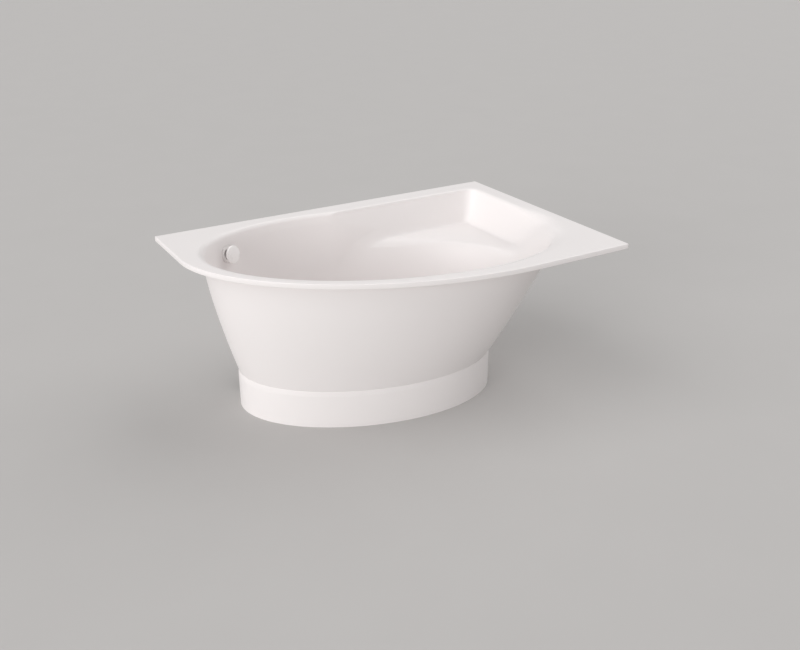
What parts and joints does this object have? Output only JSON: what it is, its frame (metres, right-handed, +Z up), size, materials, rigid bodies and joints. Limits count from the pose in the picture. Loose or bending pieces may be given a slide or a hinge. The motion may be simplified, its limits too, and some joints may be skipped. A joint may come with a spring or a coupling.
{
  "type": "corner bathtub",
  "caption": "White asymmetric corner bathtub with a slab rim, turned oval bowl, corner seat, plinth, levelling feet, and a rotary overflow knob that lifts the plug.",
  "frame": {"origin": "on the floor, under the middle of the rim's bounding rectangle", "axes": "+X along the back wall edge to the corner, +Y to the back wall, +Z up"},
  "size_m": [1.5, 1, 0.64],
  "materials": {
    "cast_mineral": "satin gelcoat on cast mineral",
    "white_plastic": "gloss",
    "polished_steel": "polished",
    "zinc_steel": "zinc plated",
    "brass": "machined",
    "rubber": "matte",
    "dark_plastic": "moulded",
    "pipe_plastic": "moulded",
    "hose_plastic": "matte"
  },
  "bodies": {
    "main": {"bath_shell": "cast_mineral", "plinth_ring": "cast_mineral", "plinth_brackets": "zinc_steel", "plinth_screws": "zinc_steel", "floor_inserts": "brass", "rail_bolts": "zinc_steel", "rail_nuts": "zinc_steel", "foot_lock_nuts": "zinc_steel", "drain_flange": "polished_steel", "drain_seal_upper": "rubber", "drain_seal_lower": "rubber", "drain_body": "pipe_plastic", "lever_pin": "polished_steel", "trap_nut": "pipe_plastic", "trap_seal": "rubber", "trap_bend": "pipe_plastic", "outlet_nut": "pipe_plastic", "outlet_seal": "rubber", "outlet_pipe": "pipe_plastic", "overflow_collar": "white_plastic", "overflow_gasket": "rubber", "overflow_body": "pipe_plastic", "overflow_hose": "hose_plastic", "hose_nut_upper": "pipe_plastic", "hose_nut_lower": "pipe_plastic", "control_cable": "dark_plastic", "leg_rail_left": "zinc_steel", "leg_rail_right": "zinc_steel"},
    "knob": {"overflow_knob": "white_plastic", "knob_spindle": "polished_steel", "spindle_clip": "polished_steel", "cable_crank": "dark_plastic"},
    "lever": {"lift_lever": "dark_plastic"},
    "plug": {"plug_cap": "white_plastic", "plug_seal": "rubber", "plug_stem": "polished_steel"},
    "foot_1": {"foot_stem_1": "zinc_steel", "foot_pad_1": "dark_plastic"},
    "foot_2": {"foot_stem_2": "zinc_steel", "foot_pad_2": "dark_plastic"},
    "foot_3": {"foot_stem_3": "zinc_steel", "foot_pad_3": "dark_plastic"},
    "foot_4": {"foot_stem_4": "zinc_steel", "foot_pad_4": "dark_plastic"}
  },
  "joints": [
    {"name": "knob_turn", "type": "hinge", "parent": "main", "child": "knob", "pos_m": [-0.50852, 0.37207, 0.562], "axis": [-0.4527, 0.8814, -0.1347], "range_deg": [0, 100]},
    {"name": "lever_swing", "type": "hinge", "parent": "main", "child": "lever", "pos_m": [-0.37526, 0.15576, 0.142], "axis": [-0.8386, -0.5448, 0], "range_deg": [0, 30]},
    {"name": "plug_lift", "type": "slide", "parent": "main", "child": "plug", "axis": [0, 0, 1], "range_m": [0, 0.01036]},
    {"name": "foot_1_screw", "type": "slide", "parent": "main", "child": "foot_1", "axis": [0, 0, 1], "range_m": [-0.012, 0.008]},
    {"name": "foot_2_screw", "type": "slide", "parent": "main", "child": "foot_2", "axis": [0, 0, 1], "range_m": [-0.012, 0.008]},
    {"name": "foot_3_screw", "type": "slide", "parent": "main", "child": "foot_3", "axis": [0, 0, 1], "range_m": [-0.012, 0.008]},
    {"name": "foot_4_screw", "type": "slide", "parent": "main", "child": "foot_4", "axis": [0, 0, 1], "range_m": [-0.012, 0.008]}
  ],
  "couplings": [
    {"joint": "lever_swing", "follows": "knob_turn", "ratio": 0.3},
    {"joint": "plug_lift", "follows": "knob_turn", "m_per_rad": 0.0059317}
  ]
}
